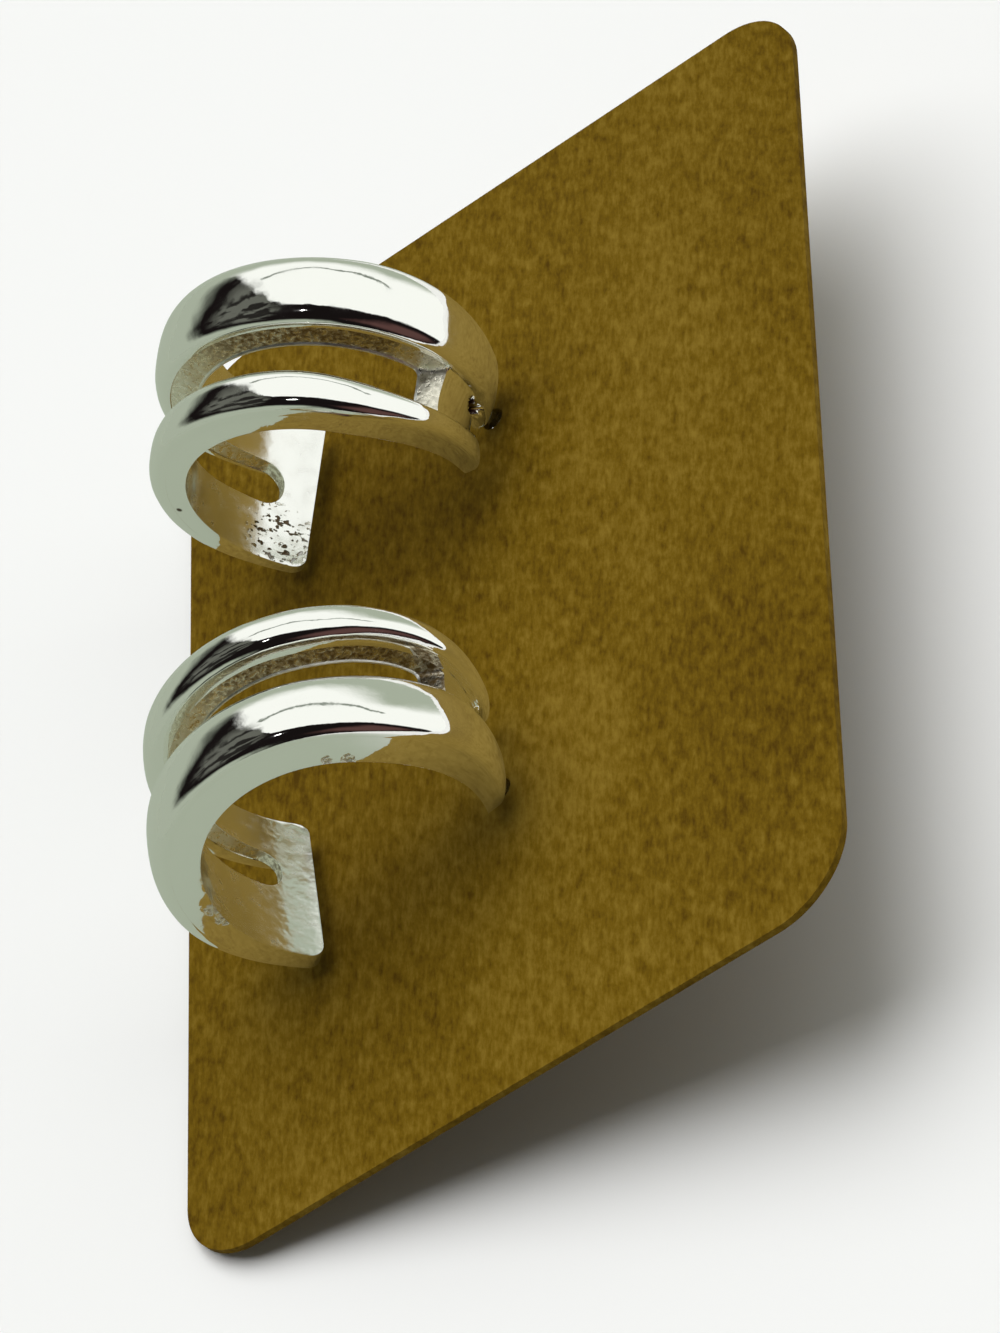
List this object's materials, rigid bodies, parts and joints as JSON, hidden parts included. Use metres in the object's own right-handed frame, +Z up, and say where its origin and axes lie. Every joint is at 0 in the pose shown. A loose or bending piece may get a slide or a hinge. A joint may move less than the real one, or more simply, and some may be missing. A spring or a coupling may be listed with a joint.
{
  "type": "pair of hoop earrings on a card",
  "caption": "Mirrored wide hoop earrings, each a broad and a slim domed rail with a long slot between, worn on ear posts and shown pushed through a small rounded cardboard card.",
  "frame": {"origin": "middle of the object's box at the height of the surface that it rests on", "axes": "+Z up; +Y along the card's long side, towards the upper earring; +X across the card, towards its raised edge"},
  "size_m": [0.0534, 0.08, 0.024],
  "materials": {
    "polished_silver": "polished silver, cast surfaces left slightly rough inside the slot and under the free end",
    "nut_silver": "polished silver",
    "kraft_card": "uncoated brown kraft cardboard with mottled fibres"
  },
  "bodies": {
    "root": {"hoop_upper": "polished_silver", "hoop_lower": "polished_silver", "ear_nut_upper": "nut_silver", "ear_nut_lower": "nut_silver", "card": "kraft_card"}
  },
  "joints": []
}
